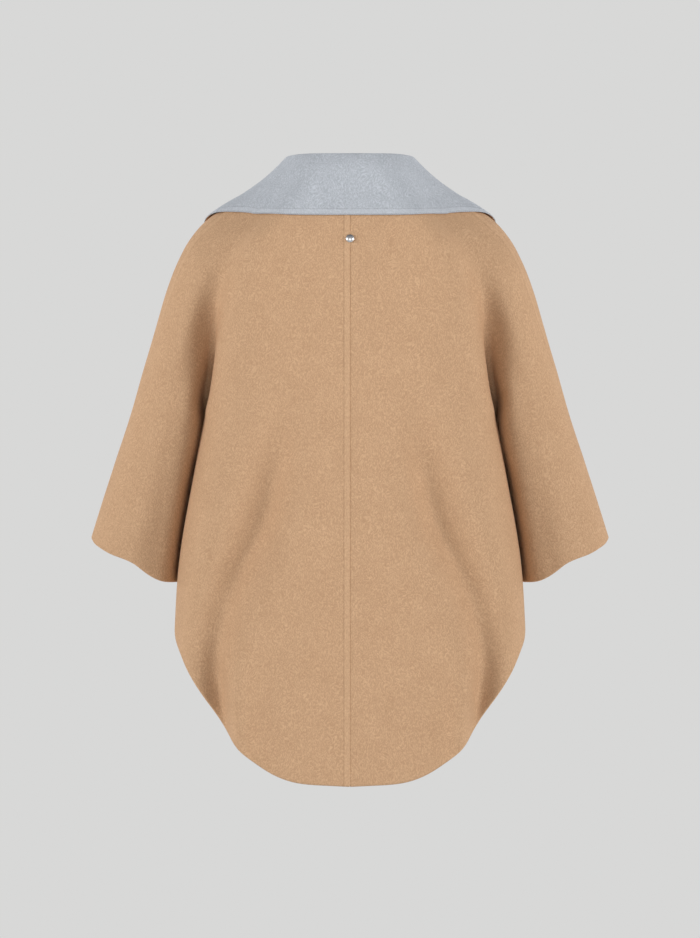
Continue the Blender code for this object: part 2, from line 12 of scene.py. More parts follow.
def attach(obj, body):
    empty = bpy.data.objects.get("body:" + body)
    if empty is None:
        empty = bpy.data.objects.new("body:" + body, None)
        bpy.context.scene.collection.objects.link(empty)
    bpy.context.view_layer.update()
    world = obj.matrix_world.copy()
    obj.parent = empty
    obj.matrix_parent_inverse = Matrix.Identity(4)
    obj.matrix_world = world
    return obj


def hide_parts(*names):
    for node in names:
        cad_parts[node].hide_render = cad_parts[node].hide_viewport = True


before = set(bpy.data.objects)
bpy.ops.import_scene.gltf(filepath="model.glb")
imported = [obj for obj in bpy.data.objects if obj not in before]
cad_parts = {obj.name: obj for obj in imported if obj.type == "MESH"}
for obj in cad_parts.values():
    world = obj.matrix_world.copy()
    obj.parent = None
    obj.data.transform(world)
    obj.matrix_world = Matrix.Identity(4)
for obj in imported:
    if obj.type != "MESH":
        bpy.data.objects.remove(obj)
bpy.ops.object.select_all(action="DESELECT")
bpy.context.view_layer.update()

# The two back panels. Heavy two-faced wool, camel outside and blue-grey inside, cut from neck to
# hem in one with the back half of each wide sleeve, and joined by a felled seam down the centre
# back. Sizes are in millimetres; each table row is a level of the worn coat.
MM = 0.001
WALL = 2.2
SEAM_GAP = 0.4
SEAM_PRESS = 0.5
NECK_SIDE_Z = 6.0
ARMPIT_Z = -300.0
HEM_SIDE_Z = -563.0
HEM_FRONT_Z = -605.0
CUFF_OUTER_Z = -449.0
# The cuff's edge: share of the way in from the sleeve's outer line, and height
CUFF_LINE = [
    (0, -447), (0.055, -454), (0.12, -458.5), (0.245, -466), (0.42, -473),
    (0.54, -479), (0.62, -486), (0.715, -493.5), (0.83, -500), (1, -501.5),
]
ROUNDNESS = 0.8
HEM_CURVE = [(0, -755), (16, -747.7), (32, -716), (50, -658), (70, -596), (90, -563)]

BodyCut = namedtuple(
    "BodyCut",
    "level centre_back ridge_x ridge_y side_x side_back side_front "
    "front_ridge_x front_ridge_y centre_front",
)
BODY_CUTS = [
    BodyCut(6, 61, 49, 42, 56, 31, -37, 47, -42, -46),
    BodyCut(-19, 79, 79, 55, 90, 44, -49, 75, -56, -60),
    BodyCut(-46, 92, 105, 63, 120, 51, -62, 101, -69, -76),
    BodyCut(-72, 100, 131, 69, 146, 59, -74, 126, -82, -91),
    BodyCut(-100, 106, 145, 73, 158, 64, -84, 141, -93, -105),
    BodyCut(-140, 112, 156, 68, 166, 58, -91, 150, -103, -121),
    BodyCut(-174, 115, 161, 57, 167, 45, -85, 155, -104, -130),
    BodyCut(-205, 117, 165, 46, 168, 32, -73, 160, -98, -136),
    BodyCut(-240, 118, 169, 34, 170, 16, -58, 164, -88, -140),
    BodyCut(-272, 118, 174, 24, 175, 0, -50, 168, -80, -141),
    BodyCut(-300, 119, 180.5, 17, 179, -26, -26, 172, -70, -141),
    BodyCut(-374, 120, 194, 19, 191, -14, -14, 185, -53, -139),
    BodyCut(-475, 123, 211, 21, 209, -12, -12, 201, -55, -137),
    BodyCut(-567, 128, 217, 22, 215, -12, -12, 206, -59, -138),
    BodyCut(-756, 137, 218, 24, 216, -12, -12, 207, -59, -140),
]
SleeveCut = namedtuple(
    "SleeveCut",
    "level inner_x inner_back inner_front middle_x back_y front_y outer_x outer_y seam_angle",
)
SLEEVE_CUTS = [
    SleeveCut(6, 59, 27, -35, 64, 14, -26, 69, -8, 45),
    SleeveCut(-19, 95, 40, -46, 107, 29, -39, 128, -8, 45),
    SleeveCut(-46, 125, 48, -59, 141, 38, -52, 173, -10, 50),
    SleeveCut(-72, 151, 57, -71, 166, 47, -64, 197, -11, 42),
    SleeveCut(-100, 163, 62, -81, 181, 56, -75, 212.5, -13, 38),
    SleeveCut(-140, 172, 57, -88, 193, 58, -86, 228, -16, 36),
    SleeveCut(-174, 175, 44, -83, 200, 56, -93, 238, -20, 32),
    SleeveCut(-205, 177, 31, -72, 207, 53, -99, 247, -23, 27),
    SleeveCut(-240, 180, 16, -58, 215, 49, -106, 257.5, -27, 21),
    SleeveCut(-272, 186, 0, -50, 221, 45, -110, 266.5, -31, 14),
    SleeveCut(-300, 184, -29, -29, 227, 42, -114, 274.5, -34, 5),
    SleeveCut(-320, 186, -36, -36, 230.5, 40, -116, 281, -36, 1),
    SleeveCut(-361, 195.5, -36, -36, 237, 37, -119, 295, -40, -10),
    SleeveCut(-449, 211, -44, -44, 252, 30, -125, 323, -46, -22),
    SleeveCut(-502, 217, -50, -50, 262, 26, -129, 339, -49, -25),
]


def hermite(knots, values, at):
    """A smooth curve through rows of values at rising knots, read at any array of places."""
    knots, values, at = (np.asarray(a, float) for a in (knots, values, at))
    slopes = np.gradient(values, knots, axis=0)
    i = np.clip(np.searchsorted(knots, at) - 1, 0, len(knots) - 2)
    span = (knots[i + 1] - knots[i])[..., None]
    t = (at - knots[i])[..., None] / span
    return (
        (1 + 2 * t) * (1 - t) ** 2 * values[i]
        + t * (1 - t) ** 2 * span * slopes[i]
        + t * t * (3 - 2 * t) * values[i + 1]
        + t * t * (t - 1) * span * slopes[i + 1]
    )


def at_level(cuts, level):
    """The table's columns at an array of levels."""
    table = np.array(cuts[::-1], float)
    return type(cuts[0])(*np.moveaxis(hermite(table[:, 0], table, level), -1, 0))


def read_table(table, at):
    """The second column of a two-column table, on a smooth curve down the first."""
    rising = np.array(sorted(table), float)
    return hermite(rising[:, 0], rising[:, 1:], at)[..., 0]


def smooth_step(value, start, end):
    t = np.clip((value - start) / (end - start), 0, 1)
    return t * t * (3 - 2 * t)


def oval(corner_x, corner_y, end_y, degrees):
    """Points of the rounded quarter from the centre line, at end_y, to its corner."""
    turn = math.radians(degrees)
    x = corner_x * math.sin(turn) ** ROUNDNESS
    return x, corner_y + (end_y - corner_y) * math.cos(turn) ** ROUNDNESS


def quarter(ridge_x, ridge_y, centre_y):
    return [(0 * ridge_x, centre_y)] + [oval(ridge_x, ridge_y, centre_y, a) for a in (30, 60, 90)]


def mirrored(points):
    return [(-x, y) for x, y in points[::-1]]


def natural_curves(points):
    """Steps and bends of the natural curve through each row of points."""
    steps = np.linalg.norm(np.diff(points, axis=1), axis=2)
    rows, count = points.shape[:2]
    left = np.zeros((rows, count, count))
    right = np.zeros(points.shape)
    left[:, 0, 0] = left[:, -1, -1] = 1
    for i in range(1, count - 1):
        before, after = steps[:, i - 1], steps[:, i]
        left[:, i, i - 1], left[:, i, i], left[:, i, i + 1] = before, 2 * (before + after), after
        rise = (points[:, i + 1] - points[:, i]) / after[:, None]
        run = (points[:, i] - points[:, i - 1]) / before[:, None]
        right[:, i] = 6 * (rise - run)
    return steps, np.linalg.solve(left, right)


def read_curves(points, places):
    """Each row's curve read at places: 2.5 is half way from point 2 to point 3."""
    steps, bends = natural_curves(points)
    i = np.clip(np.floor(places), 0, points.shape[1] - 2).astype(int)
    b = (places - i)[:, None]
    a = 1 - b
    bow = (a**3 - a) * bends[:, i] + (b**3 - b) * bends[:, i + 1]
    return a * points[:, i] + b * points[:, i + 1] + bow * steps[:, i, None] ** 2 / 6


SIDE, INNER, OUTER, FRONT_INNER, FRONT_SIDE, CENTRE_FRONT = 4, 5, 8, 11, 12, 16
BODY, SLEEVE, BRIDGE = 0, 1, 2
PLACE_STEP = 0.05
LEVEL_STEP = 2.0
LOWEST = -764.0


class LevelSurface:
    """The coat's inner face, or its body or sleeve below the armpit, read by place and level."""

    def __init__(self, kind):
        self.levels = np.arange(LOWEST, NECK_SIDE_Z + LEVEL_STEP, LEVEL_STEP)
        body = at_level(BODY_CUTS, self.levels)
        sleeve = at_level(SLEEVE_CUTS, np.maximum(self.levels, SLEEVE_CUTS[-1].level))
        back = quarter(body.ridge_x, body.ridge_y, body.centre_back)
        front = quarter(body.front_ridge_x, body.front_ridge_y, body.centre_front)[::-1]
        arc = []
        for degrees in (90, 45, 0, -45, -90):
            turn = math.radians(degrees)
            if degrees > 0:
                reach = sleeve.back_y - sleeve.outer_y
            else:
                reach = sleeve.outer_y - sleeve.front_y
            x = sleeve.middle_x + (sleeve.outer_x - sleeve.middle_x) * math.cos(turn)
            arc.append((x, sleeve.outer_y + reach * math.sin(turn)))
        before, after = mirrored(back)[:-1], mirrored(front)[1:]
        side = (body.side_x, body.side_back)
        inner = (sleeve.inner_x, sleeve.inner_back)
        front_inner = (sleeve.inner_x, sleeve.inner_front)
        if kind == "body":
            points = [*before, *back, side, *front, *after]
        elif kind == "sleeve":
            points = [*arc[-3:], inner, *arc, front_inner, *arc[:3]]
        else:
            over = [front_inner, (body.side_x, body.side_front)]
            points = [*before, *back, side, inner, *arc, *over, *front, *after]
        rows = np.moveaxis(np.array([np.broadcast_arrays(*p) for p in points]), 2, 0)
        self.places = np.arange(-1, len(points) - 4 + PLACE_STEP, PLACE_STEP)
        self.table = read_curves(rows, self.places + 3)

    def read(self, place, level):
        p = np.clip((place - self.places[0]) / PLACE_STEP, 0, len(self.places) - 1.001)
        q = np.clip((level - self.levels[0]) / LEVEL_STEP, 0, len(self.levels) - 1.001)
        i, j = p.astype(int), q.astype(int)
        b, d = (p - i)[..., None], (q - j)[..., None]
        low = self.table[j, i] * (1 - b) + self.table[j, i + 1] * b
        high = self.table[j + 1, i] * (1 - b) + self.table[j + 1, i + 1] * b
        return low * (1 - d) + high * d


whole, body_only, sleeve_only = (LevelSurface(kind) for kind in ("whole", "body", "sleeve"))


def parts_at(place):
    in_body = (place <= SIDE) | (place >= FRONT_SIDE)
    in_sleeve = (place >= INNER) & (place <= FRONT_INNER)
    return np.where(in_body, BODY, np.where(in_sleeve, SLEEVE, BRIDGE))


SLEEVE_PARTS_DOWN = (170, 300)
BODY_PARTS_DOWN = (285, 300)
# The under half of the sleeve's back is fuller than its smooth line, most a third of the way out
UNDER_FULLNESS = 22.0
FULL_FROM_DOWN = (170, 330)
FULLEST = 4 / 27


def coat(place, level, part=None):
    """Points of the cloth's inner face on the left half."""
    place, level = np.broadcast_arrays(np.asarray(place, float), np.asarray(level, float))
    part = parts_at(place) if part is None else part
    above = whole.read(place, np.maximum(level, ARMPIT_Z))
    round_body = body_only.read(np.where(place > OUTER, place - FRONT_SIDE + SIDE, place), level)
    in_sleeve = part == SLEEVE
    below = np.where(in_sleeve[..., None], sleeve_only.read(place - INNER, level), round_body)
    parting = [smooth_step(-level, *down) for down in (SLEEVE_PARTS_DOWN, BODY_PARTS_DOWN)]
    share = np.where(part == BRIDGE, 0, np.where(in_sleeve, *parting))[..., None]
    points = above * (1 - share) + below * share
    t = np.clip(place - INNER, 0, 1)
    fullness = UNDER_FULLNESS * t * (1 - t) ** 2 / FULLEST * smooth_step(-level, *FULL_FROM_DOWN)
    points[..., 1] += np.where(in_sleeve, fullness, 0)
    return np.concatenate([points, level[..., None]], axis=-1)


def outward(place, level):
    """The direction out of the cloth."""
    part = parts_at(np.asarray(place, float))
    around = coat(place + PLACE_STEP, level, part) - coat(place - PLACE_STEP, level, part)
    down = coat(place, level - LEVEL_STEP, part) - coat(place, level + LEVEL_STEP, part)
    normal = np.cross(around, down)
    return normal / np.linalg.norm(normal, axis=-1, keepdims=True)


PAST_FRONT = 2.5
HALVINGS = 26


def place_at(x, level, start=OUTER, end=CENTRE_FRONT + PAST_FRONT, outwards=-1):
    """Where a level curve comes to a given x: round the front, or round the back if told."""
    x, level = np.broadcast_arrays(np.asarray(x, float), np.asarray(level, float))
    low, high = np.full(x.shape, float(start)), np.full(x.shape, float(end))
    for _ in range(HALVINGS):
        middle = (low + high) / 2
        short = (coat(middle, level)[..., 0] - x) * outwards < 0
        low, high = np.where(short, middle, low), np.where(short, high, middle)
    return low


def overarm_place(level):
    return OUTER - at_level(SLEEVE_CUTS, np.maximum(level, SLEEVE_CUTS[-1].level)).seam_angle / 45


def hem_level(place, level):
    """Height of the hem round the body: deep round tail behind, shorter in front."""
    share = np.clip(coat(place, level)[..., 0] / at_level(BODY_CUTS, level).ridge_x, 0, 1)
    degrees = np.where(place > SIDE - 1, 90, np.degrees(np.arcsin(share ** (1 / ROUNDNESS))))
    round_front = np.clip((place - FRONT_SIDE) / (CENTRE_FRONT - FRONT_SIDE), 0, 1)
    front = HEM_SIDE_Z + (HEM_FRONT_Z - HEM_SIDE_Z) * np.sin(round_front * math.pi / 2) ** 2
    return np.where(place <= SIDE, read_table(HEM_CURVE, degrees), front)


def cuff_level(place, level):
    sleeve = at_level(SLEEVE_CUTS, level)
    share = (sleeve.outer_x - coat(place, level)[..., 0]) / (sleeve.outer_x - sleeve.inner_x)
    return read_table(CUFF_LINE, np.clip(share, 0, 1))


NEAR_HEM = -500.0
HEM_ROUNDS = 4


def skirt_level(place, share):
    """Height part of the way from the armpit to the hem or to the cuff."""
    end = np.full(place.shape, NEAR_HEM)
    in_sleeve = (place >= INNER) & (place <= FRONT_INNER)
    for _ in range(HEM_ROUNDS):
        end = np.where(in_sleeve, cuff_level(place, end), hem_level(place, end))
    return ARMPIT_Z + share * (end - ARMPIT_Z)


YOKE_ROWS = np.linspace(0, 1, 45)[:-1]
SKIRT_ROWS = np.linspace(0, 1, 65)
BAND_WIDTH = 6.6
BAND_COLUMNS = [0, 1.5, BAND_WIDTH - 1.6, BAND_WIDTH - 0.5, BAND_WIDTH + 0.6, BAND_WIDTH + 2]
BODY_COLUMNS = np.linspace(0, 1, 40)
BRIDGE_COLUMNS = np.linspace(0, 1, 4)[1:-1]
SLEEVE_COLUMNS = np.linspace(0, 1, 24)


NECK_RISES_BY = 7
NECK_RISE = 1.5


def neck_level(place):
    """Height of the neck seam, lowest at the centre back."""
    return NECK_SIDE_Z * np.minimum(1, place / NECK_RISES_BY) ** NECK_RISE


def back_grid():
    """Points of a back panel, rows down from the neck, columns out from the centre back."""
    rows, places, levels = len(YOKE_ROWS) + len(SKIRT_ROWS), [], []
    for r in range(rows):
        if r < len(YOKE_ROWS):
            share = YOKE_ROWS[r]
            centre = share * ARMPIT_Z
            side = NECK_SIDE_Z + share * (ARMPIT_Z - NECK_SIDE_Z)
        else:
            share = SKIRT_ROWS[r - len(YOKE_ROWS)]
            centre = ARMPIT_Z + share * (HEM_CURVE[0][1] - ARMPIT_Z)
            side = ARMPIT_Z + share * (CUFF_OUTER_Z - ARMPIT_Z)
        band = place_at(BAND_COLUMNS, centre, 0, 3, 1)
        band[0] = 0
        body = band[-1] + (SIDE - band[-1]) * BODY_COLUMNS[1:]
        sleeve = INNER + (overarm_place(side) - INNER) * SLEEVE_COLUMNS
        place = np.concatenate([band, body, SIDE + BRIDGE_COLUMNS, sleeve])
        if r < len(YOKE_ROWS):
            top = neck_level(place)
            level = top + share * (ARMPIT_Z - top)
        else:
            level = np.where(parts_at(place) == BRIDGE, ARMPIT_Z, skirt_level(place, share))
        places.append(place)
        levels.append(level)
    return np.array(places), np.array(levels)


# The long soft fold down each side of the back: its height, its distance from the centre, its
# depth, its width on the inner and outer side, and the ridge that stands inside it near the hem,
# with a shallow dip between the ridge and the centre
BackFold = namedtuple("BackFold", "level centre depth inner outer ridge")
BACK_FOLDS = [
    BackFold(-260, 74, 0, 20, 26, 0),
    BackFold(-320, 85, 11, 20, 27, 0),
    BackFold(-374, 97, 20, 20, 28, 0),
    BackFold(-424, 110, 24, 22, 28, 0),
    BackFold(-482, 139, 22, 28, 22, 0),
    BackFold(-549, 163, 21, 26, 22, 0),
    BackFold(-600, 168, 25, 20, 22, 4),
    BackFold(-650, 163, 29, 15, 22, 8),
    BackFold(-700, 156, 27, 13, 22, 9),
    BackFold(-764, 152, 23, 13, 22, 8),
]
SIDE_X = 215
SIDE_FADE = 30
BACK_HALF_WIDTH = 210
BACK_HALF_DEPTH = 125
SIDEWAYS_SHARE = 0.4
# Counted in the fold's own widths from its centre, and as shares of its depth or its ridge
SWELL_OUT, SWELL_SHARE = 1.9, 0.3
RIDGE_IN = 1.5
DIP_IN, DIP_SHARE = 3.2, 0.7


def folded_back(points, slit):
    """The long soft fold down each side of the back, and the swell beside it."""
    points = points.copy()
    body = points[:, : slit + 1]
    x, y, z = np.moveaxis(body, -1, 0)
    fold = at_level(BACK_FOLDS, np.clip(z, BACK_FOLDS[-1].level, BACK_FOLDS[0].level))
    from_fold = x - fold.centre
    away = from_fold / np.where(from_fold > 0, fold.outer, fold.inner)
    swell = np.exp(-((away - SWELL_OUT) ** 2)) * fold.depth * SWELL_SHARE
    dip = DIP_SHARE * np.exp(-((away + DIP_IN) ** 2))
    ridge = (np.exp(-((away + RIDGE_IN) ** 2)) - dip) * fold.ridge
    press = np.exp(-away * away) * fold.depth - swell - ridge
    out = [SIDEWAYS_SHARE * x / BACK_HALF_WIDTH**2, np.maximum(y, 0) / BACK_HALF_DEPTH**2, 0 * x]
    out = np.stack(out, axis=-1)
    out /= np.linalg.norm(out, axis=-1, keepdims=True) + 1e-9
    body -= out * (press * smooth_step(SIDE_X - x, 0, SIDE_FADE))[..., None]
    return points


def along(points, axis):
    """Distance along the rows or columns of a sheet, from its first point."""
    steps = np.linalg.norm(np.diff(points, axis=axis), axis=-1)
    start = np.zeros_like(np.take(steps, [0], axis=axis))
    return np.concatenate([start, np.cumsum(steps, axis=axis)], axis=axis)


def pressed(points, slit, bridge, armpit, loose_end=False):
    """The sheet's sewn edges pressed against their neighbours, so that no seam gapes."""
    points = points.copy()
    low = slice(armpit + 1, None)
    for edge, inner, back in (
        ((slice(None), 0), (slice(None), 1), -SEAM_PRESS),
        ((slice(None), -1), (slice(None), -2), SEAM_GAP / 2 if loose_end else -SEAM_PRESS),
        ((low, slit), (low, slit - 1), -SEAM_PRESS),
        ((low, slit + bridge), (low, slit + bridge + 1), -SEAM_PRESS),
        (
            (armpit, slice(slit, slit + bridge + 1)),
            (armpit - 1, slice(slit, slit + bridge + 1)),
            -SEAM_PRESS,
        ),
    ):
        away = points[inner] - points[edge]
        away /= np.linalg.norm(away, axis=-1, keepdims=True)
        points[edge] = points[edge] + away * back
    return points


class Number:
    """A socket that Python's arithmetic adds Math nodes to."""

    def __init__(self, finish, socket):
        self.finish = finish
        self.socket = socket

    def math(self, operation, first, second):
        return self.finish.node("ShaderNodeMath", {"operation": operation}, {0: first, 1: second})

    def __add__(self, other):
        return self.math("ADD", self, other)

    def __sub__(self, other):
        return self.math("SUBTRACT", self, other)

    def __rsub__(self, other):
        return self.math("SUBTRACT", other, self)

    def __mul__(self, other):
        return self.math("MULTIPLY", self, other)

    def __truediv__(self, other):
        return self.math("DIVIDE", self, other)

    def __abs__(self):
        return self.math("ABSOLUTE", self, 0)

    def __lt__(self, other):
        return self.math("LESS_THAN", self, other)

    __radd__ = __add__
    __rmul__ = __mul__


class Finish:
    """A material, and the one way that nodes are added to it."""

    def __init__(self, name, **constants):
        self.material = bpy.data.materials.new(name)
        self.material.use_nodes = True
        self.tree = self.material.node_tree
        self.shader = self.tree.nodes["Principled BSDF"]
        for key, value in constants.items():
            self.shader.inputs[key.replace("_", " ").title()].default_value = value

    def put(self, socket, value):
        if isinstance(value, Number):
            self.tree.links.new(value.socket, socket)
        else:
            socket.default_value = value

    def node(self, kind, settings=None, sockets=None, output=0):
        made = self.tree.nodes.new(kind)
        for key, value in (settings or {}).items():
            setattr(made, key, value)
        for key, value in (sockets or {}).items():
            self.put(made.inputs[key], value)
        return Number(self, made.outputs[output])

    def mix(self, factor, first, second, blend="MIX"):
        settings = {"data_type": "RGBA", "blend_type": blend, "clamp_factor": True}
        return self.node("ShaderNodeMix", settings, {0: factor, 6: first, 7: second}, 2)

    def noise(self, vector, scale, detail=2, output=0):
        sockets = {"Vector": vector, "Scale": scale, "Detail": detail}
        return self.node("ShaderNodeTexNoise", None, sockets, output)


# The nap's noises, in cells a metre, with how far the strokes drift and how they are combed
DRIFT_CELLS, DRIFT_REACH = 38, (0.026, 0.026, 0.01)
COMBED = (1, 1, 0.4)
STROKE_CELLS, FUZZ_CELLS, CLOUD_CELLS, LUMP_CELLS = 820, 1500, 30, 420
STROKE_SHARE, FUZZ_SHARE = 0.8, 0.2
NAP_CONTRAST, CLOUD_CONTRAST = 2.1, 0.3
HOLLOW_TONE, HOLLOW_WIDTH, HOLLOW_SHARE = 0.44, 0.06, 0.22
# Felled band's groove (painted shade), and the collar edge's stitch line, turning and whipped teeth
GROOVE_OUT, GROOVE_WIDTH = 0.3, 0.6
STITCH_IN, STITCH_WIDTH = 8, 0.55
TURNED_IN = 7.5
WHIP_PITCH, WHIP_DEPTH = 2.8, 2.0
NAP_BUMP, NAP_HEIGHT = 0.6, 1.2


def darker(colour, share):
    return (*[c * share for c in colour], 1)


def wool(name, deep, pale, seam_band=False, whipped=False):
    """Brushed wool: short curved strokes of nap over soft clouds, and a sheen of fine hair.

    The panel's map gives the distance from its seam and from its free edge, in metres.
    """
    made = Finish(name, roughness=0.92, sheen_weight=0.35, sheen_roughness=0.45)
    made.shader.inputs["Specular IOR Level"].default_value = 0.15
    made.shader.inputs["Sheen Tint"].default_value = (*pale, 1)
    place = made.node("ShaderNodeTexCoord", output=3)

    def vectors(operation, first, second):
        return made.node("ShaderNodeVectorMath", {"operation": operation}, {0: first, 1: second})

    drift = vectors("ADD", made.noise(place, DRIFT_CELLS, 2, 1), (-0.5, -0.5, -0.5))
    drift = vectors("MULTIPLY", drift, DRIFT_REACH)
    combed = vectors("MULTIPLY", vectors("ADD", place, drift), COMBED)
    strokes = made.noise(combed, STROKE_CELLS, 1)
    fuzz = made.noise(place, FUZZ_CELLS, 1)
    clouds = made.noise(place, CLOUD_CELLS, 2)
    nap = strokes * STROKE_SHARE + fuzz * FUZZ_SHARE
    tone = (nap - 0.5) * NAP_CONTRAST + (clouds - 0.5) * CLOUD_CONTRAST + 0.5
    colour = made.mix(tone, (*deep, 1), (*pale, 1))
    hollows = 1 - abs(strokes - HOLLOW_TONE) / HOLLOW_WIDTH
    colour = made.mix(hollows * HOLLOW_SHARE, colour, darker(deep, 0.62))
    edges = made.node("ShaderNodeUVMap", {"uv_map": "edges"})
    parts = made.node("ShaderNodeSeparateXYZ", None, {0: edges})
    from_seam = Number(made, parts.socket.node.outputs[0])
    from_edge = Number(made, parts.socket.node.outputs[1])
    height = nap
    if seam_band:
        groove_and_painted_shade = abs(from_seam - (BAND_WIDTH + GROOVE_OUT) * MM) < GROOVE_WIDTH * MM
        band = from_seam < BAND_WIDTH * MM
        # The raised felled band is also painted paler: a painted highlight along its ridge
        colour = made.mix(band * 0.25, colour, (*pale, 1))
        # The groove at the band's edge is painted darker, a painted shade, besides its real dip in
        # the bump
        colour = made.mix(groove_and_painted_shade * 0.2, colour, darker(deep, 0.7))
        height = height - groove_and_painted_shade * 0.4
    if whipped:
        stitch = abs(from_edge - STITCH_IN * MM) < STITCH_WIDTH * MM
        lumps = made.noise(place, LUMP_CELLS, 0)
        colour = made.mix(stitch * (0.16 + lumps * 0.2), colour, darker(deep, 0.7))
        height = height - stitch * (0.5 + lumps * 0.6)
        phase = from_seam * (2 * math.pi / (WHIP_PITCH * MM))
        turns = made.node("ShaderNodeMath", {"operation": "SINE"}, {0: phase})
        turned_in = from_edge < TURNED_IN * MM
        colour = made.mix(turned_in * 0.35, colour, (*pale, 1))
        teeth = (from_edge < WHIP_DEPTH * MM) * (turns * 0.5 + 0.5)
        colour = made.mix(teeth * 0.3, colour, darker(deep, 0.66))
        height = height - teeth * 0.9
    relief = {"Strength": NAP_BUMP, "Distance": NAP_HEIGHT * MM, "Height": height}
    made.put(made.shader.inputs["Base Color"], colour)
    made.put(made.shader.inputs["Normal"], made.node("ShaderNodeBump", None, relief))
    return made.material


CAMEL_DEEP, CAMEL_PALE = (0.45, 0.27, 0.152), (0.64, 0.415, 0.252)
GREY_DEEP, GREY_PALE = (0.35, 0.373, 0.405), (0.55, 0.578, 0.62)
camel = wool("camel wool", CAMEL_DEEP, CAMEL_PALE, seam_band=True)
blue_grey = wool("blue-grey wool", GREY_DEEP, GREY_PALE)


def cloth(name, points, side, edges, keep, outer, inner, wall=WALL, out=True):
    """A sheet of cloth: a grid laid over rows of points, slit, given its thickness and softened."""
    points, edges, keep = (a[:, ::side] for a in (points, edges, keep))
    rows, columns = points.shape[:2]
    bpy.ops.mesh.primitive_grid_add(x_subdivisions=columns - 1, y_subdivisions=rows - 1, size=1)
    piece = bpy.context.object
    piece.name = piece.data.name = name
    mesh = piece.data
    placed = (points * (side, 1, 1) * MM).reshape(-1, 3)
    mesh.vertices.foreach_set("co", placed.ravel())
    mesh.uv_layers.remove(mesh.uv_layers[0])
    layer = mesh.uv_layers.new(name="edges")
    corner = np.zeros(len(mesh.loops), int)
    mesh.loops.foreach_get("vertex_index", corner)
    layer.data.foreach_set("uv", (edges.reshape(-1, 2)[corner] * MM).ravel())
    bpy.ops.object.mode_set(mode="EDIT")
    bpy.ops.mesh.select_mode(type="FACE")
    bpy.ops.mesh.select_all(action="DESELECT")
    bpy.ops.object.mode_set(mode="OBJECT")
    mesh.polygons.foreach_set("select", ~keep.ravel())
    bpy.ops.object.mode_set(mode="EDIT")
    if not keep.all():
        bpy.ops.mesh.delete(type="FACE")
    if not out:
        bpy.ops.mesh.select_all(action="SELECT")
        bpy.ops.mesh.flip_normals()
    bpy.ops.object.mode_set(mode="OBJECT")
    for material in (outer, inner):
        mesh.materials.append(material)
    thickness = piece.modifiers.new("cloth thickness", "SOLIDIFY")
    thickness.thickness = wall * MM
    thickness.offset = 1
    thickness.use_even_offset = False
    thickness.material_offset = 1
    softened = piece.modifiers.new("soft edges", "SUBSURF")
    softened.levels = softened.render_levels = 1
    for modifier in ("cloth thickness", "soft edges"):
        bpy.ops.object.modifier_apply(modifier=modifier)
    bpy.ops.object.shade_smooth()
    bpy.ops.object.select_all(action="DESELECT")
    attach(piece, "root")
    return piece


def kept_faces(points, slit, bridge, armpit):
    keep = np.ones((points.shape[0] - 1, points.shape[1] - 1), bool)
    keep[armpit:, slit : slit + bridge] = False
    return keep


NO_SEAM_NEAR = 500.0


def distances(points, first, last):
    """Each point's distance from the seams at the sheet's first and last columns, and its hem."""
    across = along(points, 1)
    from_seam = np.full(across.shape, NO_SEAM_NEAR)
    if first:
        from_seam = np.minimum(from_seam, across)
    if last:
        from_seam = np.minimum(from_seam, across[:, -1:] - across)
    down = along(points, 0)
    return np.stack([from_seam, down[-1:] - down], axis=-1)


armpit_row = len(YOKE_ROWS)
slit_column = len(BAND_COLUMNS) + len(BODY_COLUMNS) - 2
bridge_columns = len(BRIDGE_COLUMNS) + 1
back_place, back_level = back_grid()
back_points = folded_back(coat(back_place, back_level), slit_column)
back_outward = outward(back_place, back_level)
back_keep = kept_faces(back_points, slit_column, bridge_columns, armpit_row)
BAND_RISE = 0.8
for side, hand in ((1, "left"), (-1, "right")):
    # The centre seam is felled to the left, so only the left back carries its raised band
    back_edges = distances(back_points, side > 0, True)
    raised = BAND_RISE * (1 - smooth_step(back_edges[..., 0], BAND_WIDTH - 0.6, BAND_WIDTH + 0.6))
    points = back_points + back_outward * raised[..., None]
    points = pressed(points, slit_column, bridge_columns, armpit_row)
    cloth(
        f"{hand}_back_cloth", points, side, back_edges, back_keep, camel, blue_grey
    )
    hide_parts(f"back_{hand}")

# The two front panels. The same wool, each cut in one with the front half of a sleeve and joined
# to the back along the top of the arm; the right one laps over the left. They are shorter than
# the back, and their upper edges turn out along the roll of the lapels.
BREAK_Z = -265.0
OVERLAP = 65.0
ROLL_TOP_X = 65.0
ROLL_TOP_Z = 4.0
EDGE_DROP = 100.0
# Part of the front's width, from the overarm seam, along its upper edge and at the armpit
NECK_SHARE, SLEEVE_SHARE, SIDE_SHARE = 2 / 24, 7 / 24, 8 / 24
FRONT_SLEEVE_COLUMNS = 24
FRONT_BODY_COLUMNS = 52
FRONT_COLUMNS = np.concatenate(
    [
        np.linspace(0, SLEEVE_SHARE, FRONT_SLEEVE_COLUMNS),
        SLEEVE_SHARE + (SIDE_SHARE - SLEEVE_SHARE) * BRIDGE_COLUMNS,
        np.linspace(SIDE_SHARE, 1, FRONT_BODY_COLUMNS),
    ]
)
# How far down to the armpit the columns still spread from the upper edge
SPREAD_DOWN = 0.45


def roll_place(share):
    """Place and height on the roll line, 0 at the neck and 1 at the break."""
    level = ROLL_TOP_Z + share * (BREAK_Z - ROLL_TOP_Z)
    return place_at(ROLL_TOP_X + share * (-OVERLAP - ROLL_TOP_X), level), level


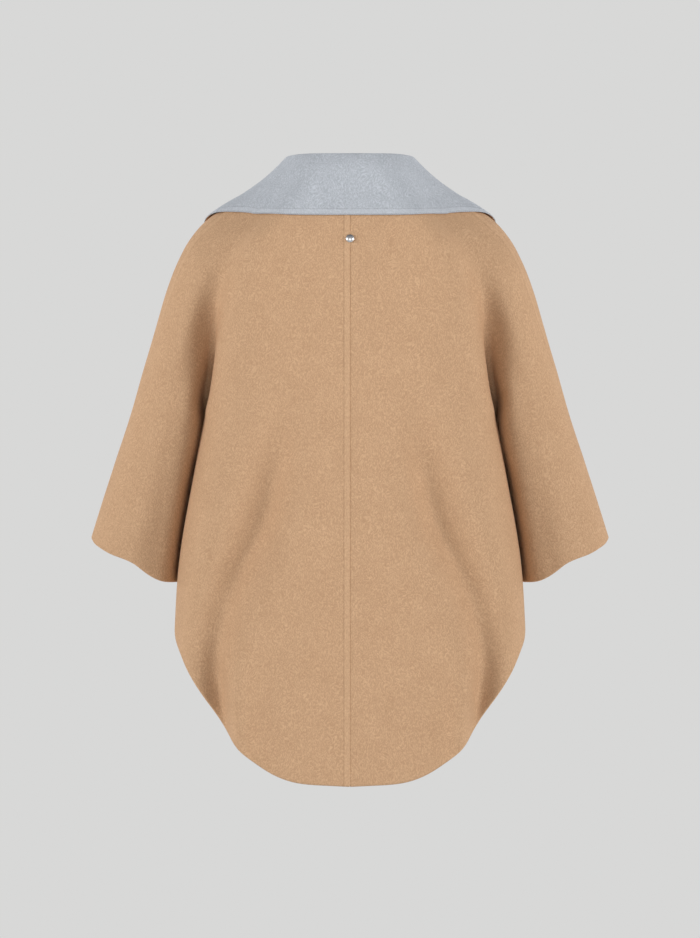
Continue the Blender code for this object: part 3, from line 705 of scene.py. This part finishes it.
def front_grid():
    """Points of a front panel, rows down, columns from the overarm seam to the front edge."""
    c = FRONT_COLUMNS
    across = np.clip((c - SIDE_SHARE) / (1 - SIDE_SHARE), 0, 1)
    drop = ARMPIT_Z - EDGE_DROP * across**2
    body = FRONT_SIDE + (place_at(-OVERLAP, drop) - FRONT_SIDE) * across
    in_sleeve = c <= SLEEVE_SHARE
    bridging = (c > SLEEVE_SHARE) & (c < SIDE_SHARE)
    bridge = FRONT_INNER + (c - SLEEVE_SHARE) / (SIDE_SHARE - SLEEVE_SHARE)
    roll_share = np.clip((c - NECK_SHARE) / (1 - NECK_SHARE), 0, 1)
    top_place, top = roll_place(roll_share)
    near_neck = np.clip(c / NECK_SHARE, 0, 1)
    neck = overarm_place(np.array(NECK_SIDE_Z))
    start, start_level = roll_place(np.array(0.0))
    top_place = np.where(c < NECK_SHARE, neck + (start - neck) * near_neck, top_place)
    top = np.where(c < NECK_SHARE, NECK_SIDE_Z + (start_level - NECK_SIDE_Z) * near_neck, top)
    places, levels = [], []
    for share in YOKE_ROWS:
        seam = overarm_place(NECK_SIDE_Z + share * (ARMPIT_Z - NECK_SIDE_Z))
        sleeve = seam + (FRONT_INNER - seam) * c / SLEEVE_SHARE
        low = np.where(in_sleeve, sleeve, np.where(bridging, bridge, body))
        blend = smooth_step(share, 0, SPREAD_DOWN)
        place = top_place + (low - top_place) * blend
        place[0] = seam
        places.append(place)
        levels.append(top + share * (drop - top))
    for share in SKIRT_ROWS:
        seam = overarm_place(ARMPIT_Z + share * (CUFF_OUTER_Z - ARMPIT_Z))
        sleeve = seam + (FRONT_INNER - seam) * c / SLEEVE_SHARE
        edge = place_at(-OVERLAP, drop + share * (HEM_FRONT_Z - drop))
        body = FRONT_SIDE + (edge - FRONT_SIDE) * across
        place = np.where(in_sleeve, sleeve, np.where(bridging, bridge, body))
        hem = hem_level(np.maximum(place, FRONT_SIDE), np.full(place.shape, HEM_SIDE_Z))
        level = np.where(in_sleeve, skirt_level(place, share), drop + share * (hem - drop))
        places.append(place)
        levels.append(np.where(bridging, ARMPIT_Z, level))
    return np.array(places), np.array(levels)


LAP_AT_LAPEL = 6.6
LAP_BELOW = 3.2
# The limits, in height, across and down, between which the right front moves out
LAP_LEVELS = (-420, -300)
LAP_ACROSS = (-140, -80)
LAP_DOWN = (50, 120)


def lapped(points, side):
    """The right front moved out over the left: by the lapel between them, less below it."""
    if side > 0:
        return points
    x, _, z = np.moveaxis(points, -1, 0)
    depth = LAP_BELOW + (LAP_AT_LAPEL - LAP_BELOW) * smooth_step(z, *LAP_LEVELS)
    moved = points.copy()
    moved[..., 1] -= depth * smooth_step(-x, *LAP_ACROSS) * smooth_step(-z, *LAP_DOWN)
    return moved


front_place, front_level = front_grid()
front_points = coat(front_place, front_level)
front_slit = FRONT_SLEEVE_COLUMNS - 1
front_edges = distances(front_points, False, False)
front_points = pressed(front_points, front_slit, bridge_columns, armpit_row, True)
front_keep = kept_faces(front_points, front_slit, bridge_columns, armpit_row)
for side, hand in ((1, "left"), (-1, "right")):
    points = lapped(front_points, side)
    cloth(
        f"{hand}_front_cloth", points, side, front_edges, front_keep, camel, blue_grey
    )
    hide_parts(f"front_{hand}")

# The two lapels. The reverse face of the same wool, turned back along the roll line and lying on
# the front, with a notch where each meets the collar.
LapelEdge = namedtuple("LapelEdge", "share x z")
GORGE = 0.13
GORGE_EDGE = (130, -80)
NOTCH_AT = 0.55
NOTCH_OPENING = 0.1
LAPEL_EDGE = [
    LapelEdge(GORGE, *GORGE_EDGE),
    LapelEdge(0.35, 118, -122),
    LapelEdge(0.6, 70, -178),
    LapelEdge(0.82, 7, -226),
    LapelEdge(1.0, -58, -268),
]
LAPEL_WALL = 2.0
LAPEL_LIFT = 1.0
LAPEL_ROWS, LAPEL_COLUMNS = 64, 28
GORGE_GAP = 0.006
LAPEL_END = 0.985
LAPEL_ROUNDS = 3
PUSH_SPREAD = 1.2


def front_face(x, z):
    """Points on the inner face of a front, and the direction out of it."""
    here = coat(place_at(x, z), z)
    beside = coat(place_at(x + 2, z), z)
    above = coat(place_at(x, z + 2), z + 2)
    normal = np.cross(above - here, beside - here)
    normal *= -np.sign(normal[..., 1:2]) / np.linalg.norm(normal, axis=-1, keepdims=True)
    return here, normal


def lapel_grid():
    """Rows down the roll line, columns from the roll to the outer edge, laid on the front."""
    edge_table = np.array(LAPEL_EDGE)
    across, down = np.meshgrid(np.linspace(0, 1, LAPEL_COLUMNS), np.linspace(0, 1, LAPEL_ROWS))
    notch = NOTCH_OPENING * np.clip((across - NOTCH_AT) / (1 - NOTCH_AT), 0, 1)
    start = GORGE + GORGE_GAP + notch
    share = start + down * (LAPEL_END - start)
    place, level = roll_place(share)
    roll_x = coat(place, level)[..., 0] + 1
    edge_x, edge_z = np.moveaxis(hermite(edge_table[:, 0], edge_table[:, 1:], share), -1, 0)
    x, z = roll_x + across * (edge_x - roll_x), level + across * (edge_z - level)
    here, normal = front_face(x, z)
    return here + normal * (WALL + LAPEL_LIFT)


def surface_tree(sheets):
    """The inner faces of some sheets, to measure distances from; each with the faces it keeps."""
    points, faces = [], []
    for sheet, keep, side in sheets:
        columns = sheet.shape[1]
        start = len(points)
        points += [tuple(p) for p in (sheet * (side, 1, 1)).reshape(-1, 3)]
        for r, c in np.argwhere(keep):
            a = start + int(r) * columns + int(c)
            faces.append([a, a + 1, a + columns + 1, a + columns][::side])
    return BVHTree.FromPolygons(points, faces)


def blurred(moves):
    """Moves of a grid's points, shared out with their neighbours."""
    wide = np.pad(moves, ((1, 1), (1, 1), (0, 0)), mode="edge")
    across = (wide[:, :-2] + 2 * wide[:, 1:-1] + wide[:, 2:]) / 4
    return (across[:-2] + 2 * across[1:-1] + across[2:]) / 4


def push_clear(points, tree, lift, rounds=8):
    """Points moved out, softly and then fully, until they lie clear of the cloth beneath."""
    for turn in range(rounds):
        moves = np.zeros(points.shape)
        for index in np.ndindex(points.shape[:2]):
            spot = Vector(points[index])
            nearest, normal = tree.find_nearest(spot)[:2]
            moves[index] = np.array(normal) * max(0, WALL + lift - (spot - nearest).dot(normal))
        points += moves if turn == rounds - 1 else blurred(blurred(moves)) * PUSH_SPREAD


def lapel_edges(points):
    """The lapel's free edges: its outer edge, its notch at the top and its point at the break."""
    across, down = along(points, 1), along(points, 0)
    inward = np.minimum(across[:, -1:] - across, np.minimum(down, down[-1:] - down))
    return np.stack([down, inward], axis=-1)


collar_wool = wool("collar wool", GREY_DEEP, GREY_PALE, whipped=True)
for side, hand in ((1, "left"), (-1, "right")):
    points = lapped(lapel_grid(), side)
    front_tree = surface_tree([(lapped(front_points, side), front_keep, 1)])
    push_clear(points, front_tree, LAPEL_LIFT, LAPEL_ROUNDS)
    keep = np.ones((points.shape[0] - 1, points.shape[1] - 1), bool)
    edges = lapel_edges(points)
    cloth(
        f"{hand}_lapel_cloth", points, side, edges, keep, collar_wool, camel, LAPEL_WALL, out=False
    )
    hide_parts(f"lapel_{hand}")

# The collar. One wide piece of the same wool with its blue-grey face out: it stands from the neck
# seam, rolls over and falls on the shoulders, and its edge is turned in, whipped and stitched.
CollarStation = namedtuple("CollarStation", "neck roll edge_place edge_level swell")
COLLAR_LIFT = 1.2
COLLAR_STATIONS = [
    CollarStation(0, (0, 69, 31.5), 0, -45.6, 1.5),
    CollarStation(1.6, (34, 64.5, 31.5), 1.3, -45.4, 1),
    CollarStation(3.6, (60, 46, 31), 4.2, -44.3, -1),
    CollarStation(5.5, (73, 24, 29.5), 6.8, -42, -4.5),
    CollarStation(7, (78, 4, 27.5), 8, -48, -6),
    CollarStation(None, (67, -37, 6), 9.6, -64, -5),
    CollarStation(None, None, None, None, 0),
]
COLLAR_WALL = 2.0
COLLAR_COLUMNS = 140
# Rows from point to point of the profile: stand, turn, roll, and the fall in two lengths
COLLAR_STRETCHES = ((0, 1, 8), (1, 2, 4), (2, 4, 14), (4, 5, 12), (5, 6, 14))
COLLAR_ROWS = np.concatenate(
    [np.linspace(*stretch, endpoint=False) for stretch in COLLAR_STRETCHES] + [[6]]
)
FRONT_NECK_SHARE = 0.45
STAND_UP, STAND_LEAN = 0.6, 0.5
ROLL_IN, ROLL_IN_DROP = 1.6, 2.5
ROLL_OUT, ROLL_OUT_DROP = 3.2, 2.2
FALL_SHARE = 0.4
GORGE_SHARES = (0, 0.01, 0.02, 0.035, 0.06, 0.4, 1)
# The first row past the roll, and the columns at each end that lie on the fronts
FALLEN_ROW_AT = 2.5
END_COLUMNS = 26


def on_coat(place, level, lift):
    return coat(place, level) + outward(place, level) * lift


def station_profile(station):
    """Neck seam, stand, three points over the roll, the fall, and the outer edge."""
    if station.edge_place is None:
        return gorge_profile()
    edge = on_coat(station.edge_place, station.edge_level, WALL + COLLAR_LIFT)
    if station.neck is None:
        neck = on_coat(*roll_place(np.array(GORGE * FRONT_NECK_SHARE)), WALL + COLLAR_LIFT)
    else:
        neck = on_coat(station.neck, neck_level(station.neck), WALL)
        neck = neck + (0, 0, SEAM_GAP)
    roll = np.array(station.roll, float)
    across = (edge - roll) * (1, 1, 0)
    across /= np.linalg.norm(across)
    stand = neck + (roll - neck) * STAND_UP - across * STAND_LEAN
    inside = roll - across * ROLL_IN - (0, 0, ROLL_IN_DROP)
    outside = roll + across * ROLL_OUT - (0, 0, ROLL_OUT_DROP)
    fall = outside + (edge - outside) * FALL_SHARE + (0, 0, station.swell)
    return [neck, stand, inside, roll, outside, fall, edge]


def gorge_profile():
    """The collar's end, flat on the front from the roll line to the outer edge."""
    place, level = roll_place(np.array(GORGE))
    start = coat(place, level)
    share = np.array(GORGE_SHARES)
    x = start[0] + share * (GORGE_EDGE[0] - start[0])
    here, normal = front_face(x, level + share * (GORGE_EDGE[1] - level))
    return here + normal * (WALL + COLLAR_LIFT)


def collar_edge(stations):
    """The collar's outer edge on the coat, at any array of stations either side of the centre."""
    ends = [(s.edge_place, s.edge_level) for s in COLLAR_STATIONS[:-1]]
    ends.append((place_at(*GORGE_EDGE), GORGE_EDGE[1]))
    one_side = np.array(ends, float)
    both = np.concatenate([one_side[1:][::-1] * (-1, 1), one_side])
    last = len(one_side) - 1
    place, level = np.moveaxis(hermite(np.arange(-last, last + 1), both, stations), -1, 0)
    edge = on_coat(np.abs(place), level, WALL + COLLAR_LIFT)
    return edge * np.stack([np.sign(stations + 1e-9), 1 + 0 * place, 1 + 0 * place], axis=-1)


def collar_edges(points):
    """How far along the collar each point lies, and how far in from its free edges."""
    across, down = along(points, 1), along(points, 0)
    inward = np.minimum(down[-1:] - down, np.minimum(across, across[:, -1:] - across))
    return np.stack([across, inward], axis=-1)


def collar_grid():
    """Rows from the neck seam over the roll to the edge, columns from gorge to gorge."""
    lines = np.array([station_profile(station) for station in COLLAR_STATIONS])
    last = len(COLLAR_STATIONS) - 1
    rounds = np.concatenate([lines[1:][::-1] * (-1, 1, 1), lines])
    rows = []
    for t in COLLAR_ROWS:
        fall = FALL_SHARE * (t - 4) if t < 5 else FALL_SHARE + (1 - FALL_SHARE) * (t - 5)
        end = last * (1 - NOTCH_OPENING * max(0.0, (fall - NOTCH_AT) / (1 - NOTCH_AT)))
        stations = np.linspace(-end, end, COLLAR_COLUMNS + 1) + last
        profiles = np.moveaxis(read_curves(np.moveaxis(rounds, 1, 0), stations), 0, 1)
        profiles[:, -1] = collar_edge(stations - last)
        rows.append(read_curves(profiles, np.array([t]))[:, 0])
    return np.array(rows)


collar_points = collar_grid()
coat_tree = surface_tree(
    [(back_points, back_keep, 1), (back_points, back_keep, -1)]
    + [(lapped(front_points, 1), front_keep, 1), (front_points, front_keep, -1)]
)
first_fallen = int(np.searchsorted(COLLAR_ROWS, FALLEN_ROW_AT))
push_clear(collar_points[first_fallen:], coat_tree, COLLAR_LIFT)
for ends in (slice(0, END_COLUMNS), slice(-END_COLUMNS, None)):
    push_clear(collar_points[:first_fallen, ends], coat_tree, COLLAR_LIFT)
collar_keep = np.ones((collar_points.shape[0] - 1, collar_points.shape[1] - 1), bool)
collar = cloth(
    "turned_over_collar", collar_points, 1, collar_edges(collar_points), collar_keep,
    collar_wool, camel, COLLAR_WALL,
)
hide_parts("collar")

# The four buttons. Turned dark horn with a raised rim round a flat middle, each sewn to the right
# front through its four holes with a crossed thread, in two rows below the lapels.
BUTTON_X = 42
BUTTON_LEVELS = (-305, -425)
DISC_RADIUS = 12.6
DISC_HEIGHT = 3.0
RIM_RADIUS = 10.9
RIM_THICKNESS = 1.15
HOLE_RADIUS = 1.1
HOLE_SPACING = 2.3
THREAD_RADIUS = 0.45
THREAD_LIFTS = (0.6, 1.2)
SEAT_GAP = 0.3
CORNER_WIDTH = 0.9
SHARP_ANGLE = 35

horn = Finish("dark horn", roughness=0.3, coat_weight=0.25)
horn_place = horn.node("ShaderNodeTexCoord", output=3)
horn_grain = horn.node(
    "ShaderNodeVectorMath", {"operation": "MULTIPLY"}, {0: horn_place, 1: (1, 1, 0.25)}
)
horn_clouds = horn.noise(horn_grain, 160, 3)
horn_specks = horn.noise(horn_place, 900, 2)
horn.put(
    horn.shader.inputs["Base Color"],
    horn.mix((horn_clouds - 0.35) * 2.6, (0.022, 0.014, 0.01, 1), (0.13, 0.078, 0.045, 1)),
)
horn.put(horn.shader.inputs["Roughness"], horn_specks * 0.3 + 0.17)
thread = Finish("sewing thread", roughness=0.8)
thread_place = thread.node("ShaderNodeTexCoord", output=3)
thread_twist = thread.noise(thread_place, 1800, 2)
thread.put(
    thread.shader.inputs["Base Color"],
    thread.mix(thread_twist, (0.05, 0.034, 0.024, 1), (0.13, 0.09, 0.06, 1)),
)


def named(name, material):
    piece = bpy.context.object
    piece.name = piece.data.name = name
    piece.data.materials.append(material)
    return piece


def cylinder(name, material, radius, low, high, x=0.0, y=0.0, sides=64):
    middle = (x * MM, y * MM, (low + high) / 2 * MM)
    bpy.ops.mesh.primitive_cylinder_add(
        vertices=sides, radius=radius * MM, depth=(high - low) * MM, location=middle
    )
    return named(name, material)


def finished(piece, modifier):
    bpy.context.view_layer.objects.active = piece
    bpy.ops.object.modifier_apply(modifier=modifier.name)


def joined(pieces):
    bpy.ops.object.select_all(action="DESELECT")
    for piece in pieces:
        piece.select_set(True)
    bpy.context.view_layer.objects.active = pieces[0]
    bpy.ops.object.join()
    return pieces[0]


def seated(piece, point, normal):
    """The piece moved to its seat and turned to stand out of the cloth."""
    bpy.ops.object.select_all(action="DESELECT")
    piece.select_set(True)
    bpy.context.view_layer.objects.active = piece
    piece.location = Vector(point) * MM
    piece.rotation_mode = "QUATERNION"
    piece.rotation_quaternion = Vector(normal).to_track_quat("Z", "Y")
    bpy.ops.object.transform_apply(location=True, rotation=True, scale=True)
    bpy.ops.object.shade_smooth_by_angle(angle=math.radians(SHARP_ANGLE))
    bpy.ops.object.select_all(action="DESELECT")
    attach(piece, "root")


def horn_button(name):
    """A button lying on the floor of its own space, its face up."""
    disc = cylinder(name, horn.material, DISC_RADIUS, 0, DISC_HEIGHT, sides=96)
    corner = disc.modifiers.new("turned corner", "BEVEL")
    corner.width = CORNER_WIDTH * MM
    corner.segments = 3
    finished(disc, corner)
    spots = [(x, y) for x in (-HOLE_SPACING, HOLE_SPACING) for y in (-HOLE_SPACING, HOLE_SPACING)]
    for x, y in spots:
        drill = cylinder("drill", horn.material, HOLE_RADIUS, -1, DISC_HEIGHT + 1, x, y, 24)
        hole = disc.modifiers.new("hole", "BOOLEAN")
        hole.object = drill
        hole.solver = "EXACT"
        finished(disc, hole)
        bpy.data.objects.remove(drill)
    bpy.ops.mesh.primitive_torus_add(
        major_radius=RIM_RADIUS * MM, minor_radius=RIM_THICKNESS * MM, major_segments=96,
        minor_segments=16, location=(0, 0, DISC_HEIGHT * MM),
    )
    parts = [disc, named("rim", horn.material)]
    run = HOLE_SPACING * math.sqrt(8)
    for (x, y), lift in zip(spots[:2], THREAD_LIFTS):
        bpy.ops.mesh.primitive_cylinder_add(
            vertices=12, radius=THREAD_RADIUS * MM, depth=run * MM,
            location=(0, 0, (DISC_HEIGHT + THREAD_RADIUS * lift) * MM),
            rotation=(0, math.pi / 2, math.atan2(y, x)),
        )
        parts.append(named("thread", thread.material))
    return joined(parts)


number = 0
for level in BUTTON_LEVELS:
    for x in (-BUTTON_X, BUTTON_X):
        number += 1
        here, normal = front_face(np.array(float(-x)), np.array(float(level)))
        seat = lapped((here + normal * WALL)[None], -1)[0] + normal * SEAT_GAP
        button = horn_button(f"horn_button_{number}")
        seated(button, seat * (-1, 1, 1), normal * (-1, 1, 1))
        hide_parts(f"button_{number}")

# The stud. A small, plain, domed stud of polished metal, clinched through the centre back seam
# just under the collar.
STUD_LEVEL = -74.0
STUD_RADIUS = 5.5
STUD_HEIGHT = 2.6
silver = Finish("polished silver", metallic=1.0, roughness=0.16)
silver_place = silver.node("ShaderNodeTexCoord", output=3)
silver_wear = silver.noise(silver_place, 700, 3)
silver.put(
    silver.shader.inputs["Base Color"],
    silver.mix(silver_wear, (0.7, 0.7, 0.71, 1), (0.86, 0.86, 0.86, 1)),
)
silver.put(silver.shader.inputs["Roughness"], silver_wear * 0.16 + 0.1)
bpy.ops.mesh.primitive_uv_sphere_add(segments=64, ring_count=32, radius=STUD_RADIUS * MM)
bpy.context.object.scale = (1, 1, STUD_HEIGHT / STUD_RADIUS)
bpy.ops.object.transform_apply(location=True, rotation=True, scale=True)
stud = named("domed_stud", silver.material)
bpy.ops.object.mode_set(mode="EDIT")
bpy.ops.mesh.select_all(action="SELECT")
bpy.ops.mesh.bisect(plane_co=(0, 0, 0), plane_no=(0, 0, 1), use_fill=True, clear_inner=True)
bpy.ops.object.mode_set(mode="OBJECT")
stud_seat = on_coat(np.array(0.0), np.array(STUD_LEVEL), WALL + BAND_RISE + SEAT_GAP)
seated(stud, stud_seat, outward(np.array(0.0), np.array(STUD_LEVEL)))
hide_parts("back_stud")

# The floor, the light and the camera: a plain pale floor and backdrop, a low soft light from each
# side, a faint one beside the camera, two weaker ones before the coat, and a long lens square to
# its back. Nothing here is part of the coat.
PIXEL = 1.25 * MM
IMAGE_WIDTH = 700
NECK_ROW, MIDDLE_ROW = 181, 469
VIEW_WIDTH = IMAGE_WIDTH * PIXEL
VIEW_CENTRE_Z = (NECK_ROW - MIDDLE_ROW) * PIXEL
SENSOR = 36
DISTANCE = 20.0
sight = bpy.data.cameras.new("camera")
sight.sensor_fit = "HORIZONTAL"
sight.sensor_width = SENSOR
sight.lens = SENSOR * DISTANCE / VIEW_WIDTH
sight.clip_end = 80
camera = bpy.data.objects.new("camera", sight)
camera.location = (0, DISTANCE, VIEW_CENTRE_Z)
camera.rotation_euler = (math.pi / 2, 0, math.pi)
bpy.context.scene.collection.objects.link(camera)
bpy.context.scene.camera = camera
bpy.context.scene.view_settings.view_transform = "Standard"

FLOOR_Z = -1.55
FLOOR_WIDTH = 30
bpy.ops.mesh.primitive_plane_add(size=FLOOR_WIDTH, location=(0, 0, FLOOR_Z))
floor = bpy.context.object
floor.name = "floor"
paper = Finish("pale paper", roughness=0.95)
ground = paper.node("ShaderNodeTexCoord", output=3)
mottle = paper.noise(ground, 3, 2)
paper.put(
    paper.shader.inputs["Base Color"],
    paper.mix(mottle, (0.79, 0.79, 0.785, 1), (0.82, 0.82, 0.815, 1)),
)
floor.data.materials.append(paper.material)
bpy.ops.object.select_all(action="DESELECT")

# The backdrop's own tone is what the camera sees. The room's light on the coat comes from the
# walls all round, and less from the ceiling and floor
BACKDROP = (0.686, 0.686, 0.680, 1)
WALL_LIGHT = (0.66, 0.66, 0.665, 1)
CEILING_LIGHT = (0.12, 0.12, 0.123, 1)
world = bpy.context.scene.world or bpy.data.worlds.new("studio")
bpy.context.scene.world = world
world.use_nodes = True
studio = world.node_tree


def studio_mix(factor, first, second):
    tone = studio.nodes.new("ShaderNodeMix")
    tone.data_type = "RGBA"
    studio.links.new(factor, tone.inputs[0])
    for socket, colour in ((tone.inputs[6], first), (tone.inputs[7], second)):
        if isinstance(colour, tuple):
            socket.default_value = colour
        else:
            studio.links.new(colour, socket)
    return tone.outputs[2]


heading = studio.nodes.new("ShaderNodeTexCoord")
split = studio.nodes.new("ShaderNodeSeparateXYZ")
studio.links.new(heading.outputs["Generated"], split.inputs[0])
slope = studio.nodes.new("ShaderNodeMath")
slope.operation = "ABSOLUTE"
studio.links.new(split.outputs["Z"], slope.inputs[0])
room = studio_mix(slope.outputs[0], WALL_LIGHT, CEILING_LIGHT)
seen = studio.nodes.new("ShaderNodeLightPath").outputs["Is Camera Ray"]
studio.links.new(studio_mix(seen, room, BACKDROP), studio.nodes["Background"].inputs["Color"])
studio.nodes["Background"].inputs["Strength"].default_value = 1.0

SoftLight = namedtuple("SoftLight", "name azimuth elevation spread strength")
SOFT_LIGHTS = [
    SoftLight("key on the left", 118, 3, 30, 2.3),
    SoftLight("key on the right", 242, 3, 30, 2.3),
    SoftLight("fill beside the camera", 180, 6, 30, 0.25),
    SoftLight("fill before the left", 35, 22, 50, 0.75),
    SoftLight("fill before the right", 325, 22, 50, 0.75),
]
for light in SOFT_LIGHTS:
    lamp = bpy.data.lights.new(light.name, "SUN")
    lamp.energy = light.strength
    lamp.angle = math.radians(light.spread)
    hung = bpy.data.objects.new(light.name, lamp)
    turn, rise = math.radians(light.azimuth), math.radians(light.elevation)
    level_x, level_y = math.sin(turn), -math.cos(turn)
    toward = Vector((level_x * math.cos(rise), level_y * math.cos(rise), math.sin(rise)))
    hung.rotation_mode = "QUATERNION"
    hung.rotation_quaternion = toward.to_track_quat("Z", "Y")
    bpy.context.scene.collection.objects.link(hung)
